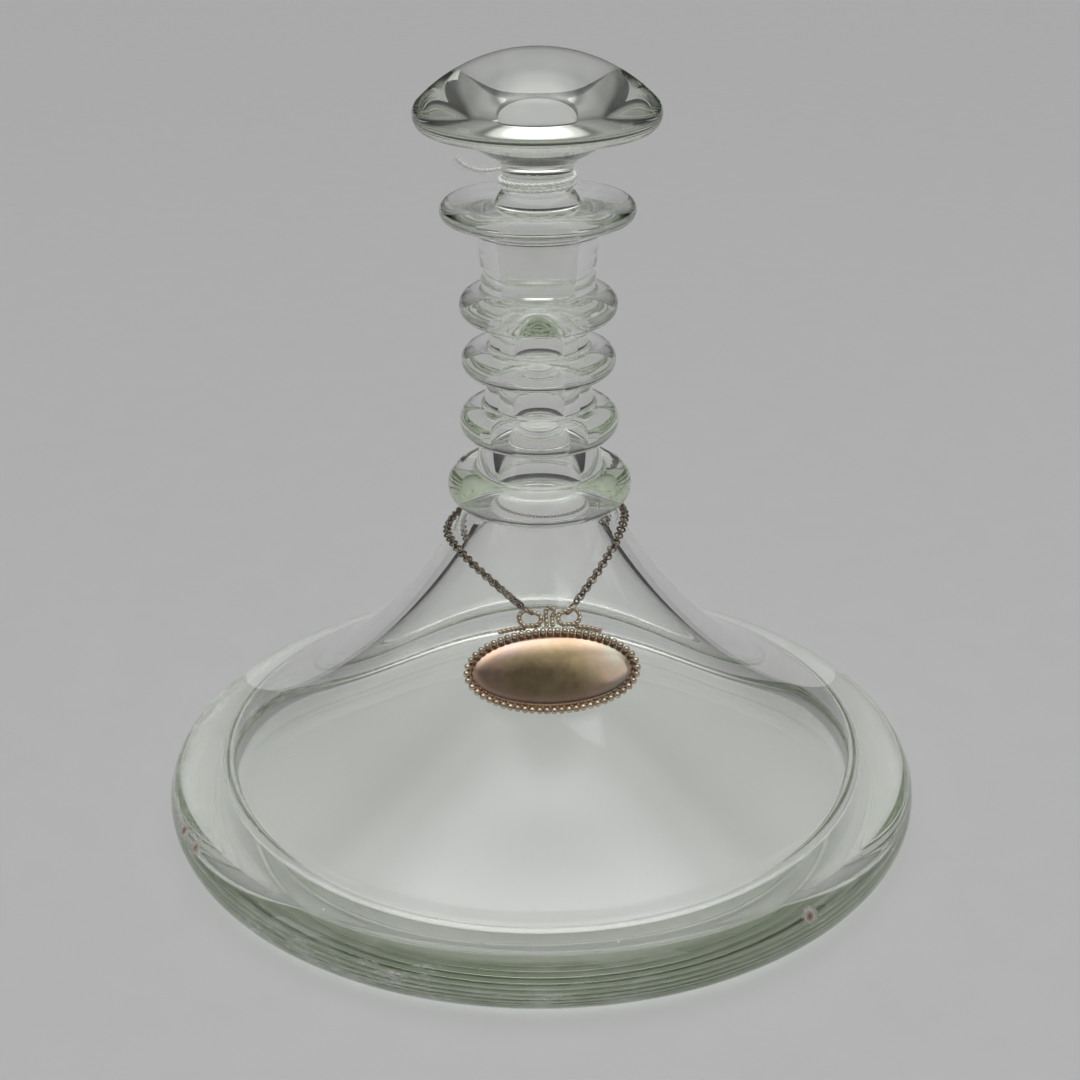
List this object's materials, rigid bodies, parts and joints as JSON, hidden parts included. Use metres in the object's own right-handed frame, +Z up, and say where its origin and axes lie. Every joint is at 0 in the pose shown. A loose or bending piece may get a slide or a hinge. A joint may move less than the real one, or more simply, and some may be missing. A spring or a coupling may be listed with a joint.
{
  "type": "ships decanter",
  "caption": "Broad-based clear glass ships decanter with a ringed neck, mushroom stopper and an oval bead-edged label hanging on a fine chain.",
  "frame": {"origin": "centre of the base on the table", "axes": "+Z up the vessel's axis, -Y towards the label, +X to the right of a viewer who faces the label"},
  "size_m": [0.21, 0.21, 0.2095],
  "materials": {
    "clear_glass": "polished, faint grey-green",
    "stopper_glass": "polished head, ground plug",
    "cotton": "soft twisted thread",
    "gilt_silver": "worn gilding, tarnished",
    "rope_silver": "worn gilding over silver",
    "dark_silver": "dark tarnish"
  },
  "bodies": {
    "decanter": {"vessel": "clear_glass", "collar_ring": "clear_glass", "neck_ring_lower": "clear_glass", "neck_ring_middle": "clear_glass", "neck_ring_upper": "clear_glass"},
    "stopper": {"stopper": "stopper_glass", "stopper_thread": "cotton"},
    "chain": {"chain_back": "dark_silver", "chain_left": "dark_silver", "chain_right": "dark_silver", "jump_ring_left": "dark_silver", "jump_ring_right": "dark_silver"},
    "label": {"label_plate": "gilt_silver", "bead_border": "rope_silver", "bow_loop_left": "rope_silver", "bow_loop_right": "rope_silver", "bow_knot": "rope_silver", "bow_tails": "rope_silver"}
  },
  "joints": [
    {"name": "stopper_lift", "type": "slide", "parent": "decanter", "child": "stopper", "axis": [0, 0, 1], "range_m": [0, 0.04]},
    {"name": "chain_turn", "type": "hinge", "parent": "decanter", "child": "chain", "pos_m": [0, 0, 0.085], "axis": [0, 0, 1], "continuous": true},
    {"name": "label_swing", "type": "hinge", "parent": "chain", "child": "label", "pos_m": [0, -0.03167, 0.07305], "axis": [-1, 0, 0], "range_deg": [0, 70]}
  ]
}
